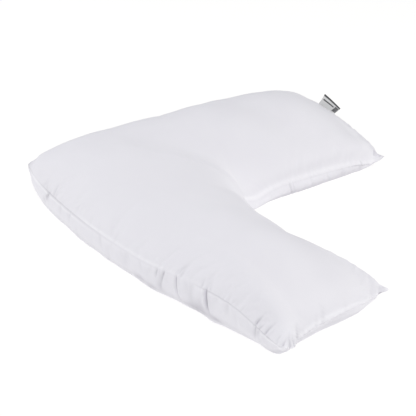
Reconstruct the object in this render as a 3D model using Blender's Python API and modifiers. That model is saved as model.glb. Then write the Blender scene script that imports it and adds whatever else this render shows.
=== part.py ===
"""A filled V-shaped pillow lying on its back, with the folded label sewn into one end.

The origin is on the floor, under the middle of the pillow's bounding box. The V opens towards +X,
the near arm runs to -Y and the far arm to +Y.
"""
from collections import namedtuple
from math import asin, cos, exp, pi, radians, sin, tan

import bmesh
import bpy
from mathutils import Vector

# The stitched seam, in metres and radians.
SIDE = 0.800
ARM_WIDTH = 0.318
HALF_ANGLE = radians(38.3)
APEX_BLUNT = 0.015
APEX_REACH = 0.120

# How far the filling lifts the panels off the level of the seam, and the arcs that they follow.
CROWN = 0.0975
BELLY = 0.289
SECTION_ARC = radians(58.9)
END_ARC = radians(51.6)
END_REACH = 0.319
ELBOW_REACH = 0.224
ELBOW_DIP = 0.083
ELBOW_DIP_WIDTH = 0.060
APEX_EASE = 0.25
APEX_EASE_REACH = 0.153
FLOOR_EASE = 0.022

# How far the bottom panel's side stands out, which fades at the end and partly at the apex.
SIDE_SWELL = 0.0114
END_SWELL_REACH = 0.120
APEX_SWELL_SHARE = 0.65
APEX_SWELL_REACH = 0.350

# The cage of each panel: where its lines run, as shares of an arm's width and distances from its end.
ACROSS_LINES = (0.0, 0.035, 0.085, 0.15, 0.25, 0.37, 0.5, 0.63, 0.75, 0.85, 0.915, 0.965, 1.0)
END_LINES = (0.012, 0.030, 0.055, 0.090)
STEP_ALONG = 0.045
PUCKER_STEP = 0.013
CLOSEST_LINES = 0.009
WELD = 0.00005

# The label, folded once, caught in the seam by both cut edges, a little askew.
LABEL_WIDTH = 0.069
LABEL_OUT = 0.0245
LABEL_SHARE = 0.305
LABEL_TILT = radians(36.0)
LABEL_CURL = radians(9.0)
LABEL_TWIST = radians(25.0)
LABEL_SLANT = radians(8.3)
LABEL_SHEET = 0.0010
LABEL_LAYER_GAP = 0.0008
LABEL_SEAM_GAP = 0.0006
LABEL_COLUMNS = 10
LABEL_ROWS = 8
LABEL_FOLD_ROWS = 5

# The fabrics, as linear colours.
COTTON_WHITE = (0.88, 0.88, 0.91)
COTTON_ROUGHNESS = 0.85
SATIN_GREY = (0.60, 0.60, 0.61)
SATIN_ROUGHNESS = 0.45

# Each seam from its first corner to its second: share of its length, height, distance drawn in.
SeamRow = namedtuple("SeamRow", "share height drawn_in")
APEX_HEIGHT = 0.102
NOTCH_HEIGHT = 0.057
NEAR_OUTER_CORNER = 0.079
NEAR_INNER_CORNER = 0.042
FAR_OUTER_CORNER = 0.040
FAR_INNER_CORNER = 0.034
SEAMS = {
    ("near", "outer"): (
        SeamRow(0.00, APEX_HEIGHT, 0.000),
        SeamRow(0.05, 0.095, -0.004),
        SeamRow(0.14, 0.079, -0.005),
        SeamRow(0.50, 0.078, -0.016),
        SeamRow(0.85, 0.092, 0.009),
        SeamRow(0.96, 0.074, 0.011),
        SeamRow(1.00, NEAR_OUTER_CORNER, 0.000),
    ),
    ("near", "inner"): (
        SeamRow(0.00, NOTCH_HEIGHT, 0.000),
        SeamRow(0.20, 0.050, 0.019),
        SeamRow(0.50, 0.043, 0.016),
        SeamRow(0.80, 0.064, 0.013),
        SeamRow(0.94, 0.048, 0.004),
        SeamRow(1.00, NEAR_INNER_CORNER, 0.000),
    ),
    ("near", "end"): (
        SeamRow(0.00, NEAR_OUTER_CORNER, 0.000),
        SeamRow(0.08, 0.088, -0.004),
        SeamRow(0.25, 0.080, 0.009),
        SeamRow(0.75, 0.057, -0.002),
        SeamRow(0.92, 0.037, 0.004),
        SeamRow(1.00, NEAR_INNER_CORNER, 0.000),
    ),
    ("far", "outer"): (
        SeamRow(0.00, APEX_HEIGHT, 0.000),
        SeamRow(0.05, 0.095, -0.004),
        SeamRow(0.14, 0.079, -0.005),
        SeamRow(0.50, 0.091, -0.009),
        SeamRow(0.85, 0.074, 0.014),
        SeamRow(0.96, 0.044, 0.007),
        SeamRow(1.00, FAR_OUTER_CORNER, 0.000),
    ),
    ("far", "inner"): (
        SeamRow(0.00, NOTCH_HEIGHT, 0.000),
        SeamRow(0.20, 0.055, 0.014),
        SeamRow(0.50, 0.053, 0.014),
        SeamRow(0.80, 0.047, 0.013),
        SeamRow(0.94, 0.034, 0.008),
        SeamRow(1.00, FAR_INNER_CORNER, 0.000),
    ),
    ("far", "end"): (
        SeamRow(0.00, FAR_OUTER_CORNER, 0.000),
        SeamRow(0.08, 0.050, 0.004),
        SeamRow(0.25, 0.065, 0.013),
        SeamRow(0.75, 0.061, 0.008),
        SeamRow(0.92, 0.053, 0.008),
        SeamRow(1.00, FAR_INNER_CORNER, 0.000),
    ),
}

# How full the crown of each arm is, against CROWN, from the mitre towards the end.
FullnessRow = namedtuple("FullnessRow", "share near far")
FULLNESS = (
    FullnessRow(0.00, 1.00, 1.00),
    FullnessRow(0.30, 0.98, 1.07),
    FullnessRow(0.60, 0.99, 0.87),
    FullnessRow(0.90, 1.00, 1.08),
)

# The puckers that show from a step away. Each is a soft trough across the seam, and runs further
# into the panel that it names.
Pucker = namedtuple("Pucker", "arm seam share panel depth reach")
PUCKERS = (
    Pucker("near", "outer", 0.139, "bottom", 0.0035, 0.040),
    Pucker("near", "outer", 0.165, "top", 0.0025, 0.050),
    Pucker("near", "outer", 0.545, "top", 0.0025, 0.060),
    Pucker("near", "outer", 0.606, "bottom", 0.0040, 0.045),
    Pucker("near", "outer", 0.652, "bottom", 0.0055, 0.055),
    Pucker("near", "outer", 0.746, "bottom", 0.0060, 0.060),
    Pucker("near", "outer", 0.891, "bottom", 0.0045, 0.045),
    Pucker("near", "outer", 0.939, "top", 0.0050, 0.045),
    Pucker("near", "inner", 0.300, "top", 0.0035, 0.045),
    Pucker("near", "inner", 0.720, "bottom", 0.0035, 0.045),
    Pucker("near", "end", 0.103, "top", 0.0040, 0.050),
    Pucker("near", "end", 0.376, "top", 0.0030, 0.040),
    Pucker("far", "outer", 0.180, "bottom", 0.0040, 0.050),
    Pucker("far", "outer", 0.430, "top", 0.0035, 0.050),
    Pucker("far", "outer", 0.610, "bottom", 0.0050, 0.055),
    Pucker("far", "outer", 0.870, "top", 0.0045, 0.050),
    Pucker("far", "inner", 0.162, "bottom", 0.0035, 0.045),
    Pucker("far", "inner", 0.336, "bottom", 0.0040, 0.050),
    Pucker("far", "inner", 0.847, "top", 0.0035, 0.040),
    Pucker("far", "end", 0.640, "top", 0.0035, 0.045),
)
PUCKER_HALF_WIDTH = 0.011
OTHER_PANEL_SHARE = 0.45

# The V in plan, apex at zero and +X down its middle. The far arm is the near arm mirrored in Y.
ALONG = Vector((cos(HALF_ANGLE), -sin(HALF_ANGLE)))
INWARD = Vector((sin(HALF_ANGLE), cos(HALF_ANGLE)))
OUTER_END = ALONG * SIDE
INNER_END = OUTER_END + INWARD * ARM_WIDTH
NOTCH = Vector((ARM_WIDTH / sin(HALF_ANGLE), 0.0))
BLUNT_APEX = Vector((APEX_BLUNT, 0.0))
INNER_SIDE = (INNER_END - NOTCH).length
CENTRE = Vector((0.4220, 0.0, 0.0))
MIRROR = {"near": 1.0, "far": -1.0}


def mix(first, second, share):
    return first * (1.0 - share) + second * share


def read_rows(rows, share, column):
    """A table's column at a share of its length, as a smooth curve through its rows."""
    at = [row.share for row in rows]
    value = [getattr(row, column) for row in rows]
    slope = [(value[i + 1] - value[i]) / (at[i + 1] - at[i]) for i in range(len(rows) - 1)]
    index = max(i for i in range(len(slope)) if at[i] <= share or i == 0)
    width = at[index + 1] - at[index]

    def slope_at_row(row):
        if row in (0, len(slope)):
            return slope[min(row, len(slope) - 1)]
        before = at[row] - at[row - 1]
        after = at[row + 1] - at[row]
        return (slope[row - 1] * after + slope[row] * before) / (before + after)

    q = (share - at[index]) / width
    return (
        value[index] * (1 + 2 * q) * (1 - q) ** 2
        + slope_at_row(index) * width * q * (1 - q) ** 2
        + value[index + 1] * q * q * (3 - 2 * q)
        + slope_at_row(index + 1) * width * q * q * (q - 1)
    )


def arch(share, half_arc):
    """The height of a round edge: 0 at its foot, 1 where it has levelled out."""
    share = min(max(share, 0.0), 1.0)
    return (cos((1 - share) * half_arc) - cos(half_arc)) / (1 - cos(half_arc))


def strip(distance):
    """The height of a filled strip at a distance from one of its two seams."""
    if not 0.0 <= distance <= ARM_WIDTH:
        return 0.0
    return (cos((2 * distance / ARM_WIDTH - 1) * SECTION_ARC) - cos(SECTION_ARC)) / (1 - cos(SECTION_ARC))


def meet(first, second):
    """The height where two round edges run into each other, each 0 at its foot and 1 once level."""
    if first * second == 0.0:
        return 0.0
    return first * second / (first + second - first * second)


def flat_place(along, across):
    """A place in an arm of the V as it is cut, flat and straight-sided, with its apex at zero."""
    return mix(OUTER_END * along, mix(NOTCH, INNER_END, along), across)


def filling(along, across):
    """How full the pillow is at a place in an arm: 0 on the seams and 1 on the crown."""
    place = flat_place(along, across)
    from_outer = place.dot(INWARD)
    from_other_outer = place.dot(Vector((INWARD.x, -INWARD.y)))
    from_end = SIDE - place.dot(ALONG)
    this_arm = meet(strip(from_outer), arch(from_other_outer / ELBOW_REACH, END_ARC))
    this_arm = meet(this_arm, arch(from_end / END_REACH, END_ARC))
    other_arm = meet(strip(from_other_outer), arch(from_outer / ELBOW_REACH, END_ARC))
    from_mitre = (from_other_outer - from_outer) / ELBOW_DIP_WIDTH
    dip = ELBOW_DIP * across * exp(-from_mitre * from_mitre)
    return (1 - (1 - this_arm) * (1 - other_arm)) * (1 - dip)


def lift(arm, along, across):
    """How far the top panel rises above the level of the seam."""
    share = min(share_along(along), FULLNESS[-1].share)
    return CROWN * read_rows(FULLNESS, share, arm) * filling(along, across)


def drop(along, across):
    """How far the bottom panel would hang below the seam with no floor, less near the apex."""
    from_apex = flat_place(along, across).length / APEX_EASE_REACH
    return BELLY * (1 - APEX_EASE * exp(-from_apex * from_apex)) * filling(along, across)


def share_across(across):
    """Where a line across the arm lies between the seams, closest together on the steep sides."""
    return 0.5 + 0.5 * sin((2 * across - 1) * SECTION_ARC) / sin(SECTION_ARC)


def share_along(along):
    """Where a line along the arm lies, drawn together where the end rounds off."""
    from_end = (1 - along) * SIDE
    if from_end >= END_REACH:
        return along
    return 1 - END_REACH / SIDE * (1 - sin((1 - from_end / END_REACH) * END_ARC) / sin(END_ARC))


def along_at(share):
    """The line along the arm that share_along sets at a share of its length."""
    from_end = (1 - share) * SIDE
    if from_end >= END_REACH:
        return share
    return 1 - END_REACH / SIDE * (1 - asin(sin(END_ARC) * (1 - from_end / END_REACH)) / END_ARC)


def seam_plan(arm, seam, share):
    """A point of a seam in plan, drawn in from the straight line between its corners."""
    drawn_in = read_rows(SEAMS[arm, seam], share, "drawn_in")
    if seam == "outer":
        blunt = max(1 - share * SIDE / APEX_REACH, 0.0) ** 2
        return ALONG * SIDE * share + INWARD * drawn_in + BLUNT_APEX * blunt
    if seam == "inner":
        return mix(NOTCH, INNER_END, share) - INWARD * drawn_in
    return mix(OUTER_END, INNER_END, share) - ALONG * drawn_in


def between_seams(u, v, outer, inner, mitre, end, corners):
    """The value inside an arm that blends those on its four borders."""
    apex, outer_end, notch, inner_end = corners
    sides = mix(outer, inner, v) + mix(mitre, end, u)
    return sides - mix(mix(apex, outer_end, u), mix(notch, inner_end, u), v)


def seam_level(arm, along, across):
    """The height at a place in an arm of a plain sheet stretched between the seams."""
    u = share_along(along)
    v = share_across(across)
    outer_corner = SEAMS[arm, "end"][0].height
    inner_corner = SEAMS[arm, "end"][-1].height
    return between_seams(
        u, v,
        read_rows(SEAMS[arm, "outer"], u, "height"),
        read_rows(SEAMS[arm, "inner"], u, "height"),
        mix(APEX_HEIGHT, NOTCH_HEIGHT, v),
        read_rows(SEAMS[arm, "end"], v, "height"),
        (APEX_HEIGHT, outer_corner, NOTCH_HEIGHT, inner_corner),
    )


def level_floor(height):
    """The height of a panel that the floor stops, eased where it lifts off."""
    if height >= FLOOR_EASE:
        return height
    if height <= -FLOOR_EASE:
        return 0.0
    return (height + FLOOR_EASE) ** 2 / (4 * FLOOR_EASE)


def panel_point(arm, panel, along, across):
    """A point of the top or bottom panel, in the pillow's own frame."""
    u = share_along(along)
    v = share_across(across)
    plan = between_seams(
        u, v,
        seam_plan(arm, "outer", u),
        seam_plan(arm, "inner", u),
        mix(BLUNT_APEX, NOTCH, v),
        seam_plan(arm, "end", v),
        (BLUNT_APEX, OUTER_END, NOTCH, INNER_END),
    )
    height = seam_level(arm, along, across)
    if panel == "top":
        height += lift(arm, along, across)
    else:
        height = level_floor(height - drop(along, across))
    return Vector((plan.x, plan.y * MIRROR[arm], height)) - CENTRE


def swell(arm, panel, along, across):
    """How far the bottom panel's side stands out between the seam and the floor."""
    if panel == "top":
        return 0.0
    fallen = min(drop(along, across) / seam_level(arm, along, across), 1.0)
    share = share_along(along)
    end_fade = min((1 - share) * SIDE / END_SWELL_REACH, 1.0)
    apex_fade = mix(APEX_SWELL_SHARE, 1.0, min(share * SIDE / APEX_SWELL_REACH, 1.0))
    return SIDE_SWELL * end_fade * apex_fade * 4 * fallen * (1 - fallen)


def trough(arm, panel, along, across):
    """How deep the puckers are at a place of a panel."""
    u = share_along(along)
    v = share_across(across)
    depth = 0.0
    for pucker in PUCKERS:
        if pucker.arm != arm:
            continue
        beside, inside = {
            "outer": ((u - pucker.share) * SIDE, v * ARM_WIDTH),
            "inner": ((u - pucker.share) * INNER_SIDE, (1 - v) * ARM_WIDTH),
            "end": ((v - pucker.share) * ARM_WIDTH, (1 - u) * SIDE),
        }[pucker.seam]
        own = 1.0 if pucker.panel == panel else OTHER_PANEL_SHARE
        fade = max(1 - inside / (pucker.reach * own), 0.0)
        depth += pucker.depth * fade * exp(-(beside / PUCKER_HALF_WIDTH) ** 2)
    return depth


def cage_lines(arm):
    """The shares of an arm's length at which a cage line runs across it, one on each pucker."""
    lines = {0.0, 1.0} | {1.0 - distance / SIDE for distance in END_LINES}
    for pucker in PUCKERS:
        if pucker.arm == arm and pucker.seam != "end":
            middle = along_at(pucker.share)
            lines.update(middle + step / SIDE for step in (-PUCKER_STEP, 0.0, PUCKER_STEP))
    placed = [0.0]
    for line in sorted(lines)[1:]:
        start = placed[-1]
        if (line - start) * SIDE < CLOSEST_LINES and line < 1.0:
            continue
        steps = max(1, round((line - start) * SIDE / STEP_ALONG))
        placed.extend(start + (line - start) * (step + 1) / steps for step in range(steps))
    return placed


def fabric(name, colour, roughness):
    material = bpy.data.materials.new(name)
    material.use_nodes = True
    shader = material.node_tree.nodes["Principled BSDF"]
    shader.inputs["Base Color"].default_value = (*colour, 1.0)
    shader.inputs["Roughness"].default_value = roughness
    shader.inputs["Metallic"].default_value = 0.0
    return material


def make_object(name, mesh_cage, material):
    mesh = bpy.data.meshes.new(name)
    mesh_cage.to_mesh(mesh)
    mesh_cage.free()
    mesh.materials.append(material)
    mesh.shade_smooth()
    made = bpy.data.objects.new(name, mesh)
    pillow_parts.objects.link(made)
    return made


def add_panel(cage, arm, panel, layers):
    """One panel of one arm, as a grid set on the panel, each point told how far it is pressed in."""
    lines = cage_lines(arm)
    steps_along = len(lines) - 1
    steps_across = len(ACROSS_LINES) - 1
    grid = bmesh.ops.create_grid(cage, x_segments=steps_along, y_segments=steps_across, size=0.5)
    for vert in grid["verts"]:
        along = lines[round((vert.co.x + 0.5) * steps_along)]
        across = ACROSS_LINES[round((vert.co.y + 0.5) * steps_across)]
        vert.co = panel_point(arm, panel, along, across)
        vert[layers["pressed"]] = trough(arm, panel, along, across) - swell(arm, panel, along, across)
        for face in vert.link_faces:
            face[layers["panel"]] = 1 if panel == "top" else 2


def move_above_floor(places):
    """Move points to new places, none of them below the floor."""
    for vert, place in places.items():
        vert.co = (place.x, place.y, max(place.z, 0.0))


def press_in(cage, pressed_layer):
    """Press each point into the pillow by its puckers, or out of it by the swell of the side."""
    cage.normal_update()
    move_above_floor({vert: vert.co - vert.normal * vert[pressed_layer] for vert in cage.verts})


def rounding_loss(vert, crease_layer):
    """How far the subdivision surface draws a point of the cage away from its place.

    These are the surface's own weights: 1 4 1 along a creased seam, and 16 4 1 in a panel.
    """
    creased = [edge.other_vert(vert) for edge in vert.link_edges if edge[crease_layer]]
    if creased:
        return sum((other.co - vert.co for other in creased), Vector()) / (2 * len(creased) + 2)
    beside = {edge.other_vert(vert) for edge in vert.link_edges}
    opposite = {other for face in vert.link_faces for other in face.verts} - beside - {vert}
    pull = 4 * sum((other.co - vert.co for other in beside), Vector())
    pull += sum((other.co - vert.co for other in opposite), Vector())
    return pull / (len(beside) * (len(beside) + 5))


def fill_out(cage, crease_layer):
    """Set the cage so far out that the rounded surface passes through the panels' own points."""
    move_above_floor({vert: vert.co - rounding_loss(vert, crease_layer) for vert in cage.verts})


def end_seam_point(share):
    """A point on the seam across the far arm's end."""
    plan = seam_plan("far", "end", share)
    height = read_rows(SEAMS["far", "end"], share, "height")
    return Vector((plan.x, -plan.y, height)) - CENTRE


def label_path():
    """The folded strip from one cut end to the other: distance out, and height off its middle plane."""
    off_middle = (LABEL_SHEET + LABEL_LAYER_GAP) / 2
    out = [LABEL_OUT * row / LABEL_ROWS for row in range(LABEL_ROWS + 1)]
    turns = [pi * (row + 1) / (LABEL_FOLD_ROWS + 1) for row in range(LABEL_FOLD_ROWS)]
    lower = [(distance, -off_middle) for distance in out]
    fold = [(LABEL_OUT + off_middle * sin(turn), -off_middle * cos(turn)) for turn in turns]
    upper = [(distance, off_middle) for distance in reversed(out)]
    return lower + fold + upper


def label_point(across, distance, off_middle):
    """A point of the label's sheet, which rises from the seam, curls up and twists a little."""
    half = LABEL_WIDTH / 2 / ARM_WIDTH
    first, last = end_seam_point(LABEL_SHARE - half), end_seam_point(LABEL_SHARE + half)
    chord = (last - first).normalized()
    on_seam = end_seam_point(LABEL_SHARE + 2 * half * across)
    on_chord = (first + last) / 2 + chord * LABEL_WIDTH * across
    outward = Vector((-chord.y, chord.x, 0.0)).normalized()
    up = outward.cross(chord) if outward.cross(chord).z > 0 else chord.cross(outward)
    freed = min(distance / LABEL_OUT, 1.0)
    out = distance - freed * LABEL_WIDTH * across * tan(LABEL_SLANT)
    root = on_seam.lerp(on_chord, freed) + chord * out * tan(LABEL_SLANT)
    tilt = LABEL_TILT - LABEL_TWIST * across + LABEL_CURL * freed
    direction = outward * cos(tilt) + up * sin(tilt)
    normal = up * cos(tilt) - outward * sin(tilt)
    return root + direction * (out + LABEL_SEAM_GAP) + normal * off_middle


# The filled pillow: two panels for each arm, stitched all round.
for old in list(bpy.data.objects):
    bpy.data.objects.remove(old, do_unlink=True)
pillow_parts = bpy.data.collections.new("v_shaped_pillow")
bpy.context.scene.collection.children.link(pillow_parts)

pillow_cage = bmesh.new()
cage_layers = {
    "panel": pillow_cage.faces.layers.int.new("panel"),
    "pressed": pillow_cage.verts.layers.float.new("pressed"),
}
crease = pillow_cage.edges.layers.float.new("crease_edge")
for arm_name in MIRROR:
    for panel_name in ("top", "bottom"):
        add_panel(pillow_cage, arm_name, panel_name, cage_layers)
bmesh.ops.remove_doubles(pillow_cage, verts=pillow_cage.verts, dist=WELD)
bmesh.ops.recalc_face_normals(pillow_cage, faces=pillow_cage.faces)
if pillow_cage.calc_volume(signed=True) < 0:
    bmesh.ops.reverse_faces(pillow_cage, faces=pillow_cage.faces)
for edge in pillow_cage.edges:
    if len({face[cage_layers["panel"]] for face in edge.link_faces}) == 2:
        edge[crease] = 1.0
press_in(pillow_cage, cage_layers["pressed"])
fill_out(pillow_cage, crease)
pillow = make_object("pillow", pillow_cage, fabric("white_cotton", COTTON_WHITE, COTTON_ROUGHNESS))
rounding = pillow.modifiers.new("rounding", "SUBSURF")
rounding.levels = 1
rounding.render_levels = 1

# The label: a short woven strip folded over, both of its cut ends in the seam of the far arm's end.
label_cage = bmesh.new()
path = label_path()
strip_grid = bmesh.ops.create_grid(label_cage, x_segments=LABEL_COLUMNS, y_segments=len(path) - 1, size=0.5)
for vert in strip_grid["verts"]:
    row = round((vert.co.y + 0.5) * (len(path) - 1))
    vert.co = label_point(vert.co.x, *path[row])
label = make_object("label", label_cage, fabric("grey_satin", SATIN_GREY, SATIN_ROUGHNESS))
sheet = label.modifiers.new("sheet", "SOLIDIFY")
sheet.thickness = LABEL_SHEET
sheet.offset = 0.0
sheet.use_even_offset = True
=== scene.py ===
"""The looks of a filled V-shaped pillow: its two cotton panels, their seam, and its woven label."""
import random
from collections import namedtuple
from math import cos, pi, radians, sin, tan, tau

import bmesh
import bpy
import numpy as np
from mathutils import Matrix, Vector
from mathutils.kdtree import KDTree


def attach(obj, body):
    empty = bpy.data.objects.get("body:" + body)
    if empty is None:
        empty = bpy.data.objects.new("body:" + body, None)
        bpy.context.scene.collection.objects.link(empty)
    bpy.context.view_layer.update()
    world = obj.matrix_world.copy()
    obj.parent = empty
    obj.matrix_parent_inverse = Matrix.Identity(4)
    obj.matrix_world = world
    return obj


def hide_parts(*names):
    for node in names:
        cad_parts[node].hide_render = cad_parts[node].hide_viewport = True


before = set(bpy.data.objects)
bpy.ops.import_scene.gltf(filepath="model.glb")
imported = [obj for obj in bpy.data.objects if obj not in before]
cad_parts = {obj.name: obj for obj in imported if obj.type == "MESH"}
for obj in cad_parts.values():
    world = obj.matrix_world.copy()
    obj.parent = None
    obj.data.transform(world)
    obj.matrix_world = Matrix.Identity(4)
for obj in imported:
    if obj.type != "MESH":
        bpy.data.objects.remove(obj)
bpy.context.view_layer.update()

# The filled pillow: two V-shaped panels of fine white polycotton, stitched right sides together all
# round, turned out and filled with loose fibre. The filling lifts both off the level of the seam, the
# bottom one lies flat where the weight presses it, and the drawn-in seam gathers into puckers.

SIDE = 0.800
ARM_WIDTH = 0.318
HALF_ANGLE = radians(38.3)
APEX_BLUNT = 0.015
APEX_REACH = 0.120

# How far the filling lifts the panels off the level of the seam, and the arcs that they follow.
CROWN = 0.0975
BELLY = 0.289
SECTION_ARC = radians(58.9)
END_ARC = radians(51.6)
END_REACH = 0.319
ELBOW_REACH = 0.224
ELBOW_DIP = 0.083
ELBOW_DIP_WIDTH = 0.060
APEX_EASE = 0.25
APEX_EASE_REACH = 0.153
FLOOR_EASE = 0.022

# How far the bottom panel's side stands out, which fades at the end and partly at the apex.
SIDE_SWELL = 0.0114
END_SWELL_REACH = 0.120
APEX_SWELL_SHARE = 0.65
APEX_SWELL_REACH = 0.350

# Each seam from its first corner to its second: share of its length, height, distance drawn in.
SeamRow = namedtuple("SeamRow", "share height drawn_in")
APEX_HEIGHT = 0.102
NOTCH_HEIGHT = 0.050
NEAR_OUTER_CORNER = 0.079
NEAR_INNER_CORNER = 0.042
FAR_OUTER_CORNER = 0.040
FAR_INNER_CORNER = 0.034
SEAMS = {
    ("near", "outer"): (
        SeamRow(0.00, APEX_HEIGHT, 0.000),
        SeamRow(0.05, 0.095, -0.004),
        SeamRow(0.14, 0.079, -0.005),
        SeamRow(0.50, 0.078, -0.016),
        SeamRow(0.85, 0.092, 0.009),
        SeamRow(0.96, 0.070, 0.010),
        SeamRow(1.00, NEAR_OUTER_CORNER, 0.000),
    ),
    ("near", "inner"): (
        SeamRow(0.00, NOTCH_HEIGHT, 0.000),
        SeamRow(0.20, 0.050, 0.019),
        SeamRow(0.50, 0.043, 0.016),
        SeamRow(0.80, 0.064, 0.013),
        SeamRow(0.94, 0.048, 0.004),
        SeamRow(1.00, NEAR_INNER_CORNER, 0.000),
    ),
    ("near", "end"): (
        SeamRow(0.00, NEAR_OUTER_CORNER, 0.000),
        SeamRow(0.08, 0.087, -0.004),
        SeamRow(0.25, 0.072, 0.007),
        SeamRow(0.50, 0.0645, 0.003),
        SeamRow(0.75, 0.0525, -0.002),
        SeamRow(0.92, 0.036, 0.004),
        SeamRow(1.00, NEAR_INNER_CORNER, 0.000),
    ),
    ("far", "outer"): (
        SeamRow(0.00, APEX_HEIGHT, 0.000),
        SeamRow(0.05, 0.095, -0.004),
        SeamRow(0.14, 0.079, -0.005),
        SeamRow(0.50, 0.091, -0.009),
        SeamRow(0.85, 0.074, 0.014),
        SeamRow(0.96, 0.044, 0.007),
        SeamRow(1.00, FAR_OUTER_CORNER, 0.000),
    ),
    ("far", "inner"): (
        SeamRow(0.00, NOTCH_HEIGHT, 0.000),
        SeamRow(0.09, 0.037, 0.007),
        SeamRow(0.20, 0.043, 0.013),
        SeamRow(0.50, 0.044, 0.013),
        SeamRow(0.80, 0.036, 0.010),
        SeamRow(0.94, 0.029, 0.004),
        SeamRow(1.00, FAR_INNER_CORNER, 0.000),
    ),
    ("far", "end"): (
        SeamRow(0.00, FAR_OUTER_CORNER, 0.000),
        SeamRow(0.08, 0.050, 0.004),
        SeamRow(0.25, 0.065, 0.013),
        SeamRow(0.75, 0.061, 0.008),
        SeamRow(0.92, 0.053, 0.008),
        SeamRow(1.00, FAR_INNER_CORNER, 0.000),
    ),
}

# How full the crown of each arm is, against CROWN, from the mitre towards the end.
FullnessRow = namedtuple("FullnessRow", "share near far")
FULLNESS = (
    FullnessRow(0.00, 1.00, 1.00),
    FullnessRow(0.30, 0.98, 1.07),
    FullnessRow(0.60, 0.99, 0.87),
    FullnessRow(0.90, 1.00, 1.08),
)

# The V in plan, apex at zero and +X down its middle. The far arm is the near arm mirrored in Y.
ALONG = np.array((cos(HALF_ANGLE), -sin(HALF_ANGLE)))
INWARD = np.array((sin(HALF_ANGLE), cos(HALF_ANGLE)))
OUTER_END = ALONG * SIDE
INNER_END = OUTER_END + INWARD * ARM_WIDTH
NOTCH = np.array((ARM_WIDTH / sin(HALF_ANGLE), 0.0))
BLUNT_APEX = np.array((APEX_BLUNT, 0.0))
INNER_SIDE = np.linalg.norm(INNER_END - NOTCH)
CENTRE = np.array((0.4220, 0.0, 0.0))
MIRROR = {"near": 1.0, "far": -1.0}

# Where the lines of the fine grid run: close together at the seams and at a sharp pucker, and wider
# apart between.
SEAM_STEPS = (
    0.0, 0.0008, 0.0018, 0.0032, 0.0050, 0.0070, 0.0090, 0.0112, 0.0136, 0.0160,
    0.0185, 0.0210, 0.0236, 0.0262, 0.0290, 0.0320, 0.0355, 0.0395, 0.0440,
)
STEP_AT_PUCKER = 0.0016
STEP_ALONG = 0.0044
STEP_ACROSS = 0.0053
SHARP = 0.0035
SHARP_REACH = (-0.008, 0.022)
WELD = 0.00002


def spaced(start, end, step):
    """Evenly spaced numbers between two, the last one left out."""
    return list(np.linspace(start, end, max(2, round((end - start) / step)), endpoint=False))


def lines_across():
    """The shares of an arm's width where the grid's lines run along it."""
    half = ARM_WIDTH / 2
    placed = list(SEAM_STEPS[:-1]) + spaced(SEAM_STEPS[-1], half, STEP_ACROSS)
    placed += [half] + [ARM_WIDTH - step for step in reversed(placed)]
    return np.array(placed) / ARM_WIDTH


def mix(first, second, share):
    return first * (1.0 - share) + second * share


def read_rows(rows, share, column):
    """A table's column at shares of its length, as a smooth curve through its rows."""
    at = np.array([row.share for row in rows])
    value = np.array([getattr(row, column) for row in rows])
    width = np.diff(at)
    slope = np.diff(value) / width
    inner = (slope[:-1] * width[1:] + slope[1:] * width[:-1]) / (width[:-1] + width[1:])
    slopes = np.concatenate([slope[:1], inner, slope[-1:]])
    index = np.clip(np.searchsorted(at, share, side="right") - 1, 0, len(width) - 1)
    wide = width[index]
    q = (share - at[index]) / wide
    return (
        value[index] * (1 + 2 * q) * (1 - q) ** 2
        + slopes[index] * wide * q * (1 - q) ** 2
        + value[index + 1] * q * q * (3 - 2 * q)
        + slopes[index + 1] * wide * q * q * (q - 1)
    )


def arch(share, half_arc):
    """The height of a round edge: 0 at its foot, 1 where it has levelled out."""
    share = np.clip(share, 0.0, 1.0)
    return (np.cos((1 - share) * half_arc) - cos(half_arc)) / (1 - cos(half_arc))


def strip(distance):
    """The height of a filled strip at a distance from one of its two seams."""
    turn = (2 * distance / ARM_WIDTH - 1) * SECTION_ARC
    height = (np.cos(turn) - cos(SECTION_ARC)) / (1 - cos(SECTION_ARC))
    return np.where((distance >= 0.0) & (distance <= ARM_WIDTH), height, 0.0)


def meet(first, second):
    """The height where two round edges run into each other, each 0 at its foot and 1 once level."""
    both = first * second
    return np.where(both > 0.0, both / np.maximum(first + second - both, 1e-9), 0.0)


def flat_place(along, across):
    """Places in an arm of the V as it is cut, flat and straight-sided, with its apex at zero."""
    outer = np.multiply.outer(along, OUTER_END)
    inner = NOTCH + np.multiply.outer(along, INNER_END - NOTCH)
    return mix(outer, inner, across[..., None])


def filling(along, across):
    """How full the pillow is at a place in an arm: 0 on the seams and 1 on the crown."""
    place = flat_place(along, across)
    from_outer = place @ INWARD
    from_other_outer = place @ (INWARD * (1.0, -1.0))
    from_end = SIDE - place @ ALONG
    this_arm = meet(strip(from_outer), arch(from_other_outer / ELBOW_REACH, END_ARC))
    this_arm = meet(this_arm, arch(from_end / END_REACH, END_ARC))
    other_arm = meet(strip(from_other_outer), arch(from_outer / ELBOW_REACH, END_ARC))
    from_mitre = (from_other_outer - from_outer) / ELBOW_DIP_WIDTH
    dip = ELBOW_DIP * across * np.exp(-from_mitre * from_mitre)
    return (1 - (1 - this_arm) * (1 - other_arm)) * (1 - dip)


def lift(arm, along, across):
    """How far the top panel rises above the level of the seam."""
    share = np.minimum(share_along(along), FULLNESS[-1].share)
    return CROWN * read_rows(FULLNESS, share, arm) * filling(along, across)


def drop(along, across):
    """How far the bottom panel would hang below the seam with no floor, less near the apex."""
    from_apex = np.linalg.norm(flat_place(along, across), axis=-1) / APEX_EASE_REACH
    return BELLY * (1 - APEX_EASE * np.exp(-from_apex * from_apex)) * filling(along, across)


def share_across(across):
    """Where a line across the arm lies between the seams, closest together on the steep sides."""
    return 0.5 + 0.5 * np.sin((2 * across - 1) * SECTION_ARC) / sin(SECTION_ARC)


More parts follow.
